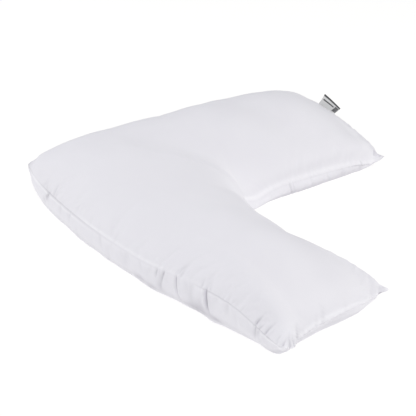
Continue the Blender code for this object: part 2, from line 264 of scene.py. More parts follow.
def share_along(along):
    """Where a line along the arm lies, drawn together where the end rounds off."""
    from_end = (1 - along) * SIDE
    turn = (1 - np.minimum(from_end / END_REACH, 1.0)) * END_ARC
    return np.where(
        from_end >= END_REACH, along, 1 - END_REACH / SIDE * (1 - np.sin(turn) / sin(END_ARC))
    )


def seam_plan(arm, seam, share):
    """Points of a seam in plan, drawn in from the straight line between its corners."""
    drawn_in = read_rows(SEAMS[arm, seam], share, "drawn_in")
    if seam == "outer":
        blunt = np.maximum(1 - share * SIDE / APEX_REACH, 0.0) ** 2
        line = np.multiply.outer(share, OUTER_END) + np.multiply.outer(drawn_in, INWARD)
        return line + np.multiply.outer(blunt, BLUNT_APEX)
    if seam == "inner":
        line = NOTCH + np.multiply.outer(share, INNER_END - NOTCH)
        return line - np.multiply.outer(drawn_in, INWARD)
    line = OUTER_END + np.multiply.outer(share, INNER_END - OUTER_END)
    return line - np.multiply.outer(drawn_in, ALONG)


def between_seams(u, v, outer, inner, mitre, end, corners):
    """The values inside an arm that blend those on its four borders."""
    apex, outer_end, notch, inner_end = corners
    sides = mix(outer, inner, v) + mix(mitre, end, u)
    return sides - mix(mix(apex, outer_end, u), mix(notch, inner_end, u), v)


def seam_level(arm, u, v):
    """The height at places in an arm of a plain sheet stretched between the seams."""
    outer_corner = SEAMS[arm, "end"][0].height
    inner_corner = SEAMS[arm, "end"][-1].height
    return between_seams(
        u, v,
        read_rows(SEAMS[arm, "outer"], u, "height"),
        read_rows(SEAMS[arm, "inner"], u, "height"),
        mix(APEX_HEIGHT, NOTCH_HEIGHT, v),
        read_rows(SEAMS[arm, "end"], v, "height"),
        (APEX_HEIGHT, outer_corner, NOTCH_HEIGHT, inner_corner),
    )


def level_floor(height):
    """The height of a panel that the floor stops, eased where it lifts off."""
    eased = (height + FLOOR_EASE) ** 2 / (4 * FLOOR_EASE)
    return np.where(height >= FLOOR_EASE, height, np.where(height <= -FLOOR_EASE, 0.0, eased))


def panel_places(arm, panel, along, across):
    """Points of the top or bottom panel, in the pillow's own frame."""
    u, v = share_along(along), share_across(across)
    flat_u, flat_v = u[..., None], v[..., None]
    plan = between_seams(
        flat_u, flat_v,
        seam_plan(arm, "outer", u),
        seam_plan(arm, "inner", u),
        mix(BLUNT_APEX, NOTCH, flat_v),
        seam_plan(arm, "end", v),
        (BLUNT_APEX, OUTER_END, NOTCH, INNER_END),
    )
    height = seam_level(arm, u, v)
    if panel == "top":
        height = height + lift(arm, along, across)
    else:
        height = level_floor(height - drop(along, across))
    return np.stack([plan[..., 0], plan[..., 1] * MIRROR[arm], height], axis=-1) - CENTRE


def swell(arm, panel, along, across):
    """How far the bottom panel's side stands out between the seam and the floor."""
    if panel == "top":
        return np.zeros(along.shape)
    u, v = share_along(along), share_across(across)
    fallen = np.minimum(drop(along, across) / seam_level(arm, u, v), 1.0)
    end_fade = np.minimum((1 - u) * SIDE / END_SWELL_REACH, 1.0)
    apex_fade = mix(APEX_SWELL_SHARE, 1.0, np.minimum(u * SIDE / APEX_SWELL_REACH, 1.0))
    return SIDE_SWELL * end_fade * apex_fade * 4 * fallen * (1 - fallen)


# The marked puckers, most of them in sight, each a crease in the panel named. The share is along the
# seam, the reach is how far it runs over the cloth, the lean is how far it drifts along the seam for
# each metre inwards, and the shade is how little light gets into its fold.
Pucker = namedtuple("Pucker", "arm seam share panel depth half_width reach lean shade")
PUCKERS = [
    Pucker("near", "outer", 0.126, "top", 0.0012, 0.0018, 0.020, -0.50, 0.22),
    Pucker("near", "outer", 0.140, "bottom", 0.0034, 0.0016, 0.060, -0.75, 0.62),
    Pucker("near", "outer", 0.157, "top", 0.0018, 0.0020, 0.040, -0.20, 0.26),
    Pucker("near", "outer", 0.237, "bottom", 0.0020, 0.0028, 0.028, -0.20, 0.26),
    Pucker("near", "outer", 0.480, "bottom", 0.0022, 0.0080, 0.060, -0.20, 0.10),
    Pucker("near", "outer", 0.589, "bottom", 0.0022, 0.0018, 0.026, -0.24, 0.45),
    Pucker("near", "outer", 0.612, "bottom", 0.0038, 0.0024, 0.052, -0.36, 0.54),
    Pucker("near", "outer", 0.650, "bottom", 0.0040, 0.0021, 0.074, 0.04, 0.36),
    Pucker("near", "outer", 0.662, "top", 0.0022, 0.0050, 0.042, -0.15, 0.20),
    Pucker("near", "outer", 0.700, "bottom", 0.0020, 0.0070, 0.070, -0.10, 0.10),
    Pucker("near", "outer", 0.730, "top", 0.0018, 0.0024, 0.024, -0.25, 0.26),
    Pucker("near", "outer", 0.744, "bottom", 0.0058, 0.0024, 0.072, 0.05, 0.66),
    Pucker("near", "outer", 0.795, "top", 0.0009, 0.0022, 0.022, 0.20, 0.12),
    Pucker("near", "outer", 0.822, "top", 0.0009, 0.0020, 0.020, 0.20, 0.12),
    Pucker("near", "outer", 0.851, "top", 0.0009, 0.0022, 0.022, 0.20, 0.12),
    Pucker("near", "outer", 0.899, "bottom", 0.0032, 0.0020, 0.044, -0.10, 0.30),
    Pucker("near", "outer", 0.897, "top", 0.0022, 0.0016, 0.032, 0.12, 0.45),
    Pucker("near", "outer", 0.909, "top", 0.0014, 0.0014, 0.020, 0.30, 0.32),
    Pucker("near", "outer", 0.927, "top", 0.0024, 0.0019, 0.034, 0.16, 0.44),
    Pucker("near", "outer", 0.966, "top", 0.0020, 0.0017, 0.026, -0.20, 0.30),
    Pucker("near", "outer", 0.985, "top", 0.0026, 0.0018, 0.026, -0.30, 0.45),
    Pucker("near", "inner", 0.300, "top", 0.0030, 0.0050, 0.050, 0.00, 0.20),
    Pucker("near", "inner", 0.720, "bottom", 0.0034, 0.0050, 0.050, 0.00, 0.30),
    Pucker("near", "end", 0.018, "top", 0.0030, 0.0018, 0.030, 0.82, 0.50),
    Pucker("near", "end", 0.048, "top", 0.0022, 0.0016, 0.024, 0.82, 0.36),
    Pucker("near", "end", 0.074, "top", 0.0014, 0.0016, 0.018, 0.82, 0.20),
    Pucker("near", "end", 0.045, "bottom", 0.0022, 0.0080, 0.017, 0.00, 0.60),
    Pucker("near", "end", 0.102, "top", 0.0022, 0.0036, 0.038, 0.83, 0.50),
    Pucker("near", "end", 0.140, "top", 0.0009, 0.0034, 0.028, 0.80, 0.16),
    Pucker("near", "end", 0.175, "top", 0.0008, 0.0034, 0.026, 0.76, 0.13),
    Pucker("near", "end", 0.318, "top", 0.0005, 0.0034, 0.036, 0.60, 0.14),
    Pucker("near", "end", 0.377, "top", 0.0008, 0.0042, 0.060, 0.54, 0.18),
    Pucker("near", "end", 0.545, "bottom", 0.0012, 0.0150, 0.030, 0.00, 0.10),
    Pucker("near", "end", 0.571, "top", 0.0008, 0.0040, 0.036, 0.54, 0.10),
    Pucker("near", "end", 0.855, "top", 0.0032, 0.0055, 0.070, 0.56, 0.10),
    Pucker("near", "end", 0.930, "bottom", 0.0020, 0.0080, 0.026, 0.00, 0.50),
    Pucker("far", "outer", 0.180, "bottom", 0.0036, 0.0050, 0.060, 0.00, 0.40),
    Pucker("far", "outer", 0.430, "top", 0.0030, 0.0050, 0.050, 0.00, 0.25),
    Pucker("far", "outer", 0.610, "bottom", 0.0048, 0.0045, 0.065, 0.00, 0.60),
    Pucker("far", "outer", 0.870, "top", 0.0040, 0.0040, 0.045, 0.00, 0.50),
    Pucker("far", "inner", 0.345, "bottom", 0.0014, 0.0018, 0.050, 0.50, 0.18),
    Pucker("far", "inner", 0.322, "bottom", 0.0024, 0.0020, 0.056, 0.50, 0.30),
    Pucker("far", "inner", 0.470, "bottom", 0.0010, 0.0030, 0.036, 0.40, 0.06),
    Pucker("far", "inner", 0.590, "bottom", 0.0010, 0.0030, 0.036, 0.40, 0.06),
    Pucker("far", "inner", 0.845, "top", 0.0012, 0.0024, 0.014, 0.00, 0.14),
    Pucker("far", "end", 0.640, "top", 0.0030, 0.0040, 0.045, 0.00, 0.30),
]
SEAM_LENGTH = {"outer": SIDE, "inner": INNER_SIDE, "end": ARM_WIDTH}
SEAM_HOLD = 0.40
PUCKER_RISE = 0.005
PUCKER_SPREAD = 0.5
CREASE_POWER = 1.6
SHOULDER = 0.38
SHOULDER_PLACE = 2.3
SHOULDER_WIDTH = 1.1
FOLD_WIDTH = 0.8
OTHER_REACH = 0.30

# The small gathers between them, left to chance: their spacing, depth, width, reach, lean and shade.
GATHER_SPACING = (0.009, 0.030)
GATHER_DEPTH = (0.0002, 0.0013)
GATHER_HALF_WIDTH = (0.0020, 0.0048)
GATHER_REACH = (0.010, 0.040)
GATHER_LEAN = (-0.5, 0.5)
GATHER_SHADE = (0.00, 0.16)
GATHER_SEED = 38
# How strong they are on the seams where the cloth lies tighter.
TIGHT_SEAMS = {("far", "inner"): 0.30, ("near", "end"): 0.45}
chance = random.Random(GATHER_SEED)


def lines_along(arm):
    """The lines that cross an arm, each as share_along takes it."""
    sharp = [
        pucker.share * SIDE
        for pucker in PUCKERS
        if pucker.arm == arm and pucker.seam != "end" and pucker.half_width <= SHARP
    ]
    placed = []
    at = 0.0
    while at < SIDE - SEAM_STEPS[-1]:
        placed.append(at)
        close = any(SHARP_REACH[0] < at - middle < SHARP_REACH[1] for middle in sharp)
        at += STEP_AT_PUCKER if close else STEP_ALONG
    from_end = SIDE - np.array(placed)
    turn = np.arcsin(sin(END_ARC) * (1 - np.minimum(from_end / END_REACH, 1.0))) / END_ARC
    rounded = 1 - END_REACH / SIDE * (1 - turn)
    along = np.where(from_end >= END_REACH, np.array(placed) / SIDE, rounded)
    edge = 1 - np.array(SEAM_STEPS[::-1]) / SIDE
    return np.concatenate([along[along < edge[0] - STEP_AT_PUCKER / SIDE], edge])


def gathers(arm, seam):
    """Small gathers all along a seam, unevenly spaced, on the top and the bottom panel."""
    full = TIGHT_SEAMS.get((arm, seam), 1.0)
    made = []
    for panel in ("top", "bottom"):
        at = chance.uniform(*GATHER_SPACING)
        while at < SEAM_LENGTH[seam]:
            strength = full * chance.random() ** 2
            sizes = [mix(*span, strength) for span in (GATHER_DEPTH, GATHER_HALF_WIDTH, GATHER_REACH)]
            lean = chance.uniform(*GATHER_LEAN)
            shade = mix(*GATHER_SHADE, strength)
            made.append(Pucker(arm, seam, at / SEAM_LENGTH[seam], panel, *sizes, lean, shade))
            at += chance.uniform(*GATHER_SPACING)
    return made


GRID_LINES = {arm: lines_along(arm) for arm in MIRROR}
for arm_seam in SEAMS:
    PUCKERS += gathers(*arm_seam)


def from_seams(arm, panel, along, across):
    """How far places in a panel lie from each of its seams, measured over the cloth."""
    u, v = share_along(along), share_across(across)
    if panel == "top":
        risen = lift(arm, along, across)
    else:
        risen = np.minimum(drop(along, across), seam_level(arm, u, v))
    flat = {"outer": v * ARM_WIDTH, "inner": (1 - v) * ARM_WIDTH, "end": (1 - u) * SIDE}
    return {seam: np.hypot(distance, risen) for seam, distance in flat.items()}


def add_pucker(pucker, panel, beside, inside, marks):
    """Presses one pucker into the cloth: a crease with raised shoulders that tapers off the seam."""
    own = pucker.panel == panel
    reach = pucker.reach if own else pucker.reach * OTHER_REACH
    taper = np.maximum(1 - (inside / reach) ** 2, 0.0) ** 2
    risen = np.minimum(inside / PUCKER_RISE, 1.0)
    opened = risen * risen * (3 - 2 * risen) if own else 0.0
    width = pucker.half_width * (1 + PUCKER_SPREAD * inside / pucker.reach)
    off = np.abs(beside - pucker.lean * inside) / width
    shoulders = SHOULDER * np.exp(-((off - SHOULDER_PLACE) / SHOULDER_WIDTH) ** 2)
    crease = np.exp(-(off ** CREASE_POWER)) - shoulders
    marks["pressed"] += pucker.depth * mix(SEAM_HOLD, 1.0, opened) * taper * crease
    # Painted shade in the fold.
    marks["shade"] += pucker.shade * opened * taper * np.exp(-((off / FOLD_WIDTH) ** 2))


# Soft dents where the filling gives way, most of them low on the walls in sight. One with a depth
# below zero is a bulge, one with no depth only paints shade on the cloth, and one with a shade below
# zero paints a highlight instead. The shade is painted shade in the cloth's colour. Each is placed
# along a seam and so far inside it, over the cloth.
Dent = namedtuple("Dent", "arm seam share panel inside depth half_width half_reach shade")
DENTS = (
    Dent("near", "outer", 0.520, "bottom", 0.043, 0.0006, 0.018, 0.007, 0.40),
    Dent("near", "outer", 0.560, "bottom", 0.050, 0.0006, 0.014, 0.008, 0.30),
    Dent("near", "outer", 0.594, "bottom", 0.040, 0.0006, 0.008, 0.013, 0.22),
    Dent("near", "outer", 0.687, "bottom", 0.064, 0.0006, 0.018, 0.014, 0.28),
    Dent("near", "outer", 0.716, "bottom", 0.055, -0.0026, 0.019, 0.023, 0.42),
    Dent("near", "outer", 0.738, "bottom", 0.094, -0.0040, 0.016, 0.018, 0.00),
    Dent("near", "outer", 0.763, "bottom", 0.070, 0.0000, 0.012, 0.009, 0.42),
    Dent("near", "outer", 0.746, "bottom", 0.031, 0.0000, 0.0024, 0.013, 0.30),
    Dent("near", "outer", 0.900, "bottom", 0.072, 0.0072, 0.070, 0.035, 0.00),
    Dent("near", "outer", 0.972, "bottom", 0.042, 0.0100, 0.026, 0.015, 0.14),
    Dent("near", "end", 0.070, "bottom", 0.034, -0.0012, 0.012, 0.012, 0.16),
    Dent("near", "end", 0.500, "bottom", 0.010, 0.0006, 0.012, 0.006, 0.20),
    Dent("near", "inner", 0.925, "top", 0.018, -0.0030, 0.020, 0.020, 0.00),
    Dent("near", "end", 0.090, "top", 0.026, 0.0000, 0.022, 0.026, -0.60),
    Dent("near", "end", 0.500, "top", 0.050, 0.0000, 0.090, 0.034, -0.25),
    Dent("near", "end", 0.400, "bottom", 0.034, 0.0095, 0.105, 0.030, 0.00),
    Dent("near", "end", 0.560, "bottom", 0.022, 0.0014, 0.040, 0.016, 0.10),
    Dent("near", "end", 0.945, "bottom", 0.002, 0.0000, 0.006, 0.006, 0.60),
    Dent("near", "end", 0.945, "top", 0.000, 0.0000, 0.005, 0.004, 0.40),
    Dent("far", "end", 0.800, "top", 0.050, 0.0000, 0.075, 0.030, -0.55),
    Dent("far", "outer", 0.450, "top", 0.035, 0.0000, 0.220, 0.035, 0.17),
    Dent("near", "inner", 0.700, "top", 0.115, 0.0000, 0.080, 0.040, 0.12),
    Dent("near", "inner", 0.060, "top", 0.045, 0.0000, 0.030, 0.030, -0.45),
    Dent("far", "inner", 0.050, "top", 0.050, 0.0000, 0.060, 0.040, -0.35),
    Dent("far", "inner", 0.550, "top", 0.020, 0.0000, 0.150, 0.009, 0.09),
    Dent("far", "inner", 0.450, "bottom", 0.044, 0.0046, 0.260, 0.030, 0.00),
    Dent("far", "inner", 0.900, "bottom", 0.024, 0.0100, 0.055, 0.022, 0.10),
    Dent("far", "inner", 0.300, "bottom", 0.028, 0.0000, 0.110, 0.006, 0.38),
    Dent("far", "inner", 0.560, "bottom", 0.021, 0.0000, 0.090, 0.008, 0.34),
    Dent("far", "inner", 0.770, "bottom", 0.014, 0.0000, 0.060, 0.009, 0.24),
    Dent("far", "inner", 0.706, "bottom", 0.008, 0.0004, 0.006, 0.008, 0.12),
    Dent("far", "inner", 0.839, "bottom", 0.005, 0.0004, 0.005, 0.006, 0.20),
)


def add_dent(dent, beside, inside, marks):
    """Presses in one dent and paints its shade or highlight into the cloth's colour."""
    off = np.hypot(beside / dent.half_width, (inside - dent.inside) / dent.half_reach)
    soft = np.exp(-off * off)
    marks["pressed"] += dent.depth * soft
    # Painted shade, or painted highlight where the shade is below zero.
    marks["shade"] += max(dent.shade, 0.0) * soft
    marks["bright"] += max(-dent.shade, 0.0) * soft


# How the stitched line looks along each seam: how much shade is painted in the line's groove, and how
# much highlight is painted on the cloth just above it, on the top panel's ridge, and just below it, on
# the bottom panel's lip.
SeamLook = namedtuple("SeamLook", "share line ridge lip edge_width")
EVEN_LOOK = (SeamLook(0.0, 0.45, 0.35, 0.10, 0.003), SeamLook(1.0, 0.45, 0.35, 0.10, 0.003))
SOFT_RIDGE = (
    SeamLook(0.00, 0.10, 0.90, 0.30, 0.0050),
    SeamLook(0.25, 0.15, 0.50, 0.00, 0.0045),
    SeamLook(0.70, 0.25, 0.42, 0.00, 0.0040),
    SeamLook(0.90, 0.45, 0.25, 0.00, 0.0034),
    SeamLook(1.00, 0.20, 0.00, 0.00, 0.0030),
)
SEAM_LOOKS = {
    ("near", "outer"): (
        SeamLook(0.00, 0.60, 0.00, 0.00, 0.0024),
        SeamLook(0.03, 1.00, 0.00, 0.00, 0.0024),
        SeamLook(0.06, 0.25, 0.00, 1.00, 0.0030),
        SeamLook(0.11, 0.85, 0.00, 0.90, 0.0024),
        SeamLook(0.24, 0.85, 0.15, 0.70, 0.0024),
        SeamLook(0.32, 0.50, 0.80, 0.20, 0.0026),
        SeamLook(0.42, 0.20, 0.50, 0.15, 0.0030),
        SeamLook(0.55, 0.15, 0.55, 0.10, 0.0030),
        SeamLook(0.62, 0.15, 0.30, 0.00, 0.0030),
        SeamLook(0.69, 0.05, 0.15, 0.10, 0.0030),
        SeamLook(0.74, 0.65, 0.05, 0.30, 0.0024),
        SeamLook(0.92, 1.00, 0.05, 0.70, 0.0026),
        SeamLook(0.96, 1.50, 0.00, 1.00, 0.0030),
        SeamLook(0.98, 0.40, 0.00, 0.60, 0.0030),
        SeamLook(1.00, 0.00, 0.00, 0.00, 0.0024),
    ),
    ("near", "inner"): EVEN_LOOK,
    ("near", "end"): (
        SeamLook(0.00, 0.00, 0.00, 0.00, 0.0036),
        SeamLook(0.09, 0.05, 0.05, 0.00, 0.0036),
        SeamLook(0.16, 0.35, 0.45, 0.00, 0.0036),
        SeamLook(0.25, 0.35, 0.60, 0.00, 0.0046),
        SeamLook(0.85, 0.35, 0.50, 0.00, 0.0044),
        SeamLook(1.00, 0.30, 0.20, 0.00, 0.0030),
    ),
    ("far", "outer"): EVEN_LOOK,
    ("far", "inner"): SOFT_RIDGE,
    ("far", "end"): EVEN_LOOK,
}
LINE_DEPTH = 0.0009
LINE_HALF_WIDTH = 0.0008
LINE_SHADE = 0.34
RIDGE_HEIGHT = 0.0010
RIDGE_PLACE = 1.6


def add_stitching(look, panel, share, inside, marks):
    """Sinks the stitched line below the cloth beside it with painted shade in it, and raises the edge
    along it with a painted highlight.
    """
    line = read_rows(look, share, "line") * np.exp(-((inside / LINE_HALF_WIDTH) ** 2))
    edge = read_rows(look, share, "ridge" if panel == "top" else "lip")
    edge = edge * np.exp(-((inside / read_rows(look, share, "edge_width") - RIDGE_PLACE) ** 2))
    marks["pressed"] += line * LINE_DEPTH - edge * RIDGE_HEIGHT
    # Painted shade in the line's groove, and a painted highlight on the edge beside it.
    marks["shade"] += line * LINE_SHADE
    marks["bright"] += edge


# The ears: at each corner the spare cloth is pulled out of the plain form, in steps along the arm,
# across it and up, with a neck behind it. Their shade and bright are painted shade and painted
# highlight on the cloth. Both arms share the apex, which isn't pulled sideways.
Ear = namedtuple("Ear", "arm along across size pull neck_place neck_width neck_depth shade bright")
EARS = (
    Ear("near", 1.0, 0.00, 0.016, (0.000, 0.004, 0.004), 0.034, 0.010, 0.0010, 0.00, 0.60),
    Ear("near", 1.0, 0.07, 0.013, (0.007, 0.001, -0.003), 0.030, 0.010, 0.0000, 0.00, 0.50),
    Ear("near", 1.0, 1.00, 0.009, (0.003, 0.000, 0.001), 0.020, 0.007, 0.0032, 0.00, 0.35),
    Ear("far", 1.0, 0.00, 0.014, (0.003, -0.002, 0.000), 0.030, 0.007, 0.0026, 0.10, 0.20),
    Ear("far", 1.0, 1.00, 0.011, (0.002, 0.000, 0.007), 0.024, 0.008, 0.0030, 0.15, 0.10),
    Ear("near", 0.0, 0.00, 0.012, (0.002, 0.002, -0.001), 0.024, 0.008, 0.0018, 0.45, 0.00),
)


def from_corner(ear, places):
    """How far places lie from the corner that an ear stands at."""
    corner = panel_places(ear.arm, "top", np.array([ear.along]), np.array([ear.across]))[0]
    return np.linalg.norm(places - corner, axis=-1)


def pulled(places):
    """Places with the ears' cloth pulled out at the corners."""
    moved = places.copy()
    for ear in EARS:
        along, inward, up = ear.pull
        plan = along * ALONG + inward * INWARD
        step = np.array((plan[0], plan[1] * MIRROR[ear.arm], up))
        if ear.along == 0.0:
            step[1] = 0.0
        tuft = np.exp(-((from_corner(ear, places) / ear.size) ** 2))
        moved += tuft[..., None] * step
    return moved


def add_ear(ear, places, marks):
    """Sinks the neck behind one corner's ear, and paints shade and highlight on its cloth."""
    distance = from_corner(ear, places)
    tuft = np.exp(-((distance / ear.size) ** 2))
    neck = np.exp(-(((distance - ear.neck_place) / ear.neck_width) ** 2))
    marks["pressed"] += ear.neck_depth * neck
    # Painted shade and painted highlight on the ear's cloth.
    marks["shade"] += ear.shade * tuft
    marks["bright"] += ear.bright * tuft


# The filling is uneven: broad soft lumps, as slow waves that cross each other.
Lump = namedtuple("Lump", "length heading height phase")
LUMPS = [
    Lump(0.210, radians(20), 0.0012, 0.6),
    Lump(0.170, radians(75), 0.0011, 2.9),
    Lump(0.130, radians(128), 0.0009, 4.4),
    Lump(0.095, radians(165), 0.0006, 1.7),
    Lump(0.075, radians(48), 0.0004, 5.2),
]
LUMP_FADE = 0.050
LUMP_BEND = 0.6
BEND_LENGTH = 2.3


def lumps(places, distance):
    """How far the filling pushes the cloth out, nothing at the seams."""
    height = np.zeros(distance.shape)
    for lump in LUMPS:
        run = places[..., 0] * cos(lump.heading) + places[..., 1] * sin(lump.heading)
        bend = LUMP_BEND * np.sin(tau * places[..., 1] / lump.length / BEND_LENGTH + lump.phase)
        height += lump.height * np.sin(tau * run / lump.length + lump.phase + bend)
    fade = np.minimum(distance / LUMP_FADE, 1.0)
    return height * fade * fade


CLOTH_ARC = SECTION_ARC / sin(SECTION_ARC)

# The pull of the filling, by a run of Blender's cloth. A coarse copy of the skin is cut with a little
# spare cloth, most of it at the seams, held at the seams and where it rests, and blown up from inside.
SKIN_STEP = 0.006
FILLING_PRESSURE = 4.0
SPARE_CLOTH = 0.010
SPARE_AT_SEAM = 0.030
SPARE_REACH = 0.050
SPARE_STEPS = 20
RESTS_BELOW = 0.0005
CLOTH_FRAMES = 20
CLOTH_STEPS = 5
CLOTH_MASS = 0.15
CLOTH_STRETCH = 15.0
CLOTH_SHEAR = 5.0
CLOTH_BEND = 0.05
SKIN_COLUMNS = np.linspace(0.0, 1.0, round(SIDE / SKIN_STEP) + 1)
SKIN_ROWS = np.linspace(0.0, 1.0, round(ARM_WIDTH * CLOTH_ARC / SKIN_STEP) + 1)
PANELS = ("top", "bottom")


def lay_grid(cage, places):
    """Lays a grid on places, and gives each of its points with its column and row."""
    last = (places.shape[0] - 1, places.shape[1] - 1)
    grid = bmesh.ops.create_grid(cage, x_segments=last[0], y_segments=last[1], size=0.5)
    for vert in grid["verts"]:
        at = (round((vert.co.x + 0.5) * last[0]), round((vert.co.y + 0.5) * last[1]))
        vert.co = places[at]
        yield vert, at


def sew(cage):
    """Joins the panels along their borders, with their faces outwards."""
    bmesh.ops.remove_doubles(cage, verts=cage.verts, dist=WELD)
    bmesh.ops.recalc_face_normals(cage, faces=cage.faces)
    if cage.calc_volume(signed=True) < 0:
        bmesh.ops.reverse_faces(cage, faces=cage.faces)
    cage.normal_update()


def read_points(mesh, name):
    """One vector of every point of a mesh, as rows of three numbers."""
    numbers = np.empty(len(mesh.vertices) * 3)
    mesh.vertices.foreach_get(name, numbers)
    return numbers.reshape(-1, 3)


def make_skin(skin_places):
    """The coarse skin as an object, with its points held at the seams and where they rest."""
    cage = bmesh.new()
    inside_layer = cage.verts.layers.float.new("inside")
    for (arm, panel), places in skin_places.items():
        along, across = np.meshgrid(SKIN_COLUMNS, SKIN_ROWS, indexing="ij")
        inside = np.minimum.reduce(list(from_seams(arm, panel, along, across).values()))
        for vert, at in lay_grid(cage, places):
            vert[inside_layer] = inside[at]
    sew(cage)
    inside = np.array([vert[inside_layer] for vert in cage.verts])
    mesh = bpy.data.meshes.new("skin")
    cage.to_mesh(mesh)
    cage.free()
    skin = bpy.data.objects.new("skin", mesh)
    bpy.context.scene.collection.objects.link(skin)
    rests = read_points(mesh, "co")[:, 2] < RESTS_BELOW
    held = skin.vertex_groups.new(name="held")
    held.add(np.flatnonzero(rests | (inside < WELD)).tolist(), 1.0, "REPLACE")
    spare = skin.vertex_groups.new(name="spare")
    level = np.round(np.exp(-((inside / SPARE_REACH) ** 2)) * SPARE_STEPS)
    for step in range(1, SPARE_STEPS + 1):
        spare.add(np.flatnonzero(level == step).tolist(), step / SPARE_STEPS, "REPLACE")
    return skin


def blow_up(skin):
    """Runs the cloth and returns where each point of the skin was, and how far out it then stands."""
    cloth = skin.modifiers.new("cloth", "CLOTH")
    sheet = cloth.settings
    sheet.quality = CLOTH_STEPS
    sheet.mass = CLOTH_MASS
    sheet.tension_stiffness = CLOTH_STRETCH
    sheet.compression_stiffness = CLOTH_STRETCH
    sheet.shear_stiffness = CLOTH_SHEAR
    sheet.bending_stiffness = CLOTH_BEND
    sheet.use_pressure = True
    sheet.uniform_pressure_force = FILLING_PRESSURE
    sheet.vertex_group_mass = "held"
    sheet.vertex_group_shrink = "spare"
    sheet.shrink_min = -SPARE_CLOTH
    sheet.shrink_max = -SPARE_AT_SEAM
    sheet.effector_weights.gravity = 0.0
    cloth.collision_settings.use_collision = False
    cloth.point_cache.frame_start = 1
    cloth.point_cache.frame_end = CLOTH_FRAMES
    stage = bpy.context.scene
    for frame_number in range(1, CLOTH_FRAMES + 1):
        stage.frame_set(frame_number)
    places = read_points(skin.data, "co")
    blown = skin.evaluated_get(bpy.context.evaluated_depsgraph_get()).data
    out = ((read_points(blown, "co") - places) * read_points(skin.data, "normal")).sum(axis=1)
    stage.frame_set(1)
    mesh = skin.data
    bpy.data.objects.remove(skin)
    bpy.data.meshes.remove(mesh)
    return places, out


def blurred(values, reach, axis):
    """Values averaged along one axis with a soft window that reaches so many steps each way."""
    steps = np.arange(-3 * reach, 3 * reach + 1)
    window = np.exp(-0.5 * (steps / reach) ** 2)
    pad = [(0, 0), (0, 0)]
    pad[axis] = (3 * reach, 3 * reach)
    padded = np.pad(values, pad, mode="edge")
    return np.apply_along_axis(np.convolve, axis, padded, window / window.sum(), mode="valid")


# Only the wrinkles are kept, near the seams and no higher than the cap: the form already has the
# broad swelling, which is the average along each seam.
WRINKLE_SPAN = 6
WRINKLE_REACH = 0.060
WRINKLE_SHARE = 0.9
WRINKLE_CAP = 0.0028
END_BLEND = 0.080


def wrinkles():
    """How far out the wrinkles stand on the coarse grid of each panel."""
    along, across = np.meshgrid(SKIN_COLUMNS, SKIN_ROWS, indexing="ij")
    skin_places = {
        (arm, panel): panel_places(arm, panel, along, across) for arm in MIRROR for panel in PANELS
    }
    places, out = blow_up(make_skin(skin_places))
    tree = KDTree(len(places))
    for index, place in enumerate(places):
        tree.insert(place, index)
    tree.balance()
    made = {}
    for panel in PANELS:
        found = {
            arm: np.array([tree.find(place)[1] for place in skin_places[arm, panel].reshape(-1, 3)])
            for arm in MIRROR
        }
        both = [out[found[arm]].reshape(along.shape) for arm in MIRROR]
        whole = np.concatenate([both[1][:0:-1], both[0]])
        along_sides = whole - blurred(whole, WRINKLE_SPAN, 0)
        along_end = whole - blurred(whole, WRINKLE_SPAN, 1)
        mitre = len(SKIN_COLUMNS) - 1
        for arm, turn in (("near", slice(mitre, None)), ("far", slice(mitre, None, -1))):
            inside = from_seams(arm, panel, along, across)
            near_end = np.exp(-((inside["end"] / END_BLEND) ** 2))
            kept = mix(along_sides[turn], along_end[turn], near_end)
            kept *= np.exp(-((np.minimum.reduce(list(inside.values())) / WRINKLE_REACH) ** 2))
            made[arm, panel] = np.clip(kept * WRINKLE_SHARE, -WRINKLE_CAP, WRINKLE_CAP)
    return made


def weights_at(lines, count):
    """The share of each evenly spaced number in a smooth curve's value at some lines."""
    place = lines * (count - 1)
    cell = np.clip(np.floor(place).astype(int), 0, count - 2)
    q = place - cell
    shares = (
        q * (-1 + q * (2 - q)) / 2,
        1 + q * q * (3 * q - 5) / 2,
        q * (1 + q * (4 - 3 * q)) / 2,
        q * q * (q - 1) / 2,
    )
    weights = np.zeros((len(lines), count))
    for offset, share in zip((-1, 0, 1, 2), shares):
        np.add.at(weights, (np.arange(len(lines)), np.clip(cell + offset, 0, count - 1)), share)
    return weights


WRINKLES = wrinkles()

# Little light reaches the cloth next to the floor, about where the wall turns under.
FOOT_SHADE = 0.17
FOOT_PLACE = 0.66
FOOT_REACH = 0.12


def cloth_marks(arm, panel, along, across, places):
    """How far each place of a panel is pressed in, and how much shade and highlight is painted on its
    cloth.
    """
    inside = from_seams(arm, panel, along, across)
    run = {"outer": share_along(along), "inner": share_along(along), "end": share_across(across)}
    marks = {name: np.zeros(along.shape) for name in ("pressed", "shade", "bright")}
    for pucker in PUCKERS:
        if pucker.arm == arm:
            beside = (run[pucker.seam] - pucker.share) * SEAM_LENGTH[pucker.seam]
            add_pucker(pucker, panel, beside, inside[pucker.seam], marks)
    for dent in DENTS:
        if (dent.arm, dent.panel) == (arm, panel):
            beside = (run[dent.seam] - dent.share) * SEAM_LENGTH[dent.seam]
            add_dent(dent, beside, inside[dent.seam], marks)
    for seam in SEAM_LENGTH:
        add_stitching(SEAM_LOOKS[arm, seam], panel, run[seam], inside[seam], marks)
    for ear in EARS:
        add_ear(ear, places, marks)
    marks["pressed"] -= swell(arm, panel, along, across)
    marks["pressed"] -= lumps(places, np.minimum.reduce(list(inside.values())))
    if WRINKLES:
        across_weights = weights_at(across[0], len(SKIN_ROWS))
        along_weights = weights_at(along[:, 0], len(SKIN_COLUMNS))
        marks["pressed"] -= along_weights @ WRINKLES[arm, panel] @ across_weights.T
    if panel == "bottom":
        fallen = drop(along, across) / seam_level(arm, share_along(along), share_across(across))
        marks["shade"] += FOOT_SHADE * np.exp(-(((fallen - FOOT_PLACE) / FOOT_REACH) ** 2))
    return marks


BOTTOM_PANEL_SHIFT = 1.4


